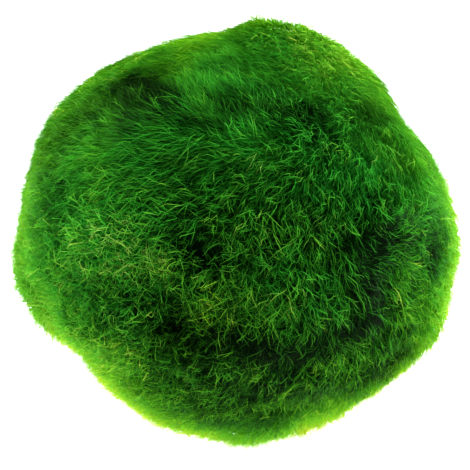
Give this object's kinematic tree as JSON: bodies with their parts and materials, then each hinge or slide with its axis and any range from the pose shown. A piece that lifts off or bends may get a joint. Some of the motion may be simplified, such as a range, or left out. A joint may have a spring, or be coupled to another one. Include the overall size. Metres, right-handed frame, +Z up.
{
  "type": "marimo moss ball",
  "caption": "Loose ball of felted green algae filaments for an aquarium or a water garden; it lies free and rests on a small pressed-flat spot.",
  "frame": {"origin": "middle of the ball's base, on the plane of the flat spot that it rests on", "axes": "+Z up, out of the surface it rests on; -Y towards the front, where the coat hangs in a fan; +X to the right as seen from the front"},
  "size_m": [0.0502, 0.0488, 0.0432],
  "materials": {
    "moss": "matte, fine felted filaments, dark at their roots and yellow-green at their tips"
  },
  "bodies": {
    "root": {"moss_ball": "moss"}
  },
  "joints": []
}
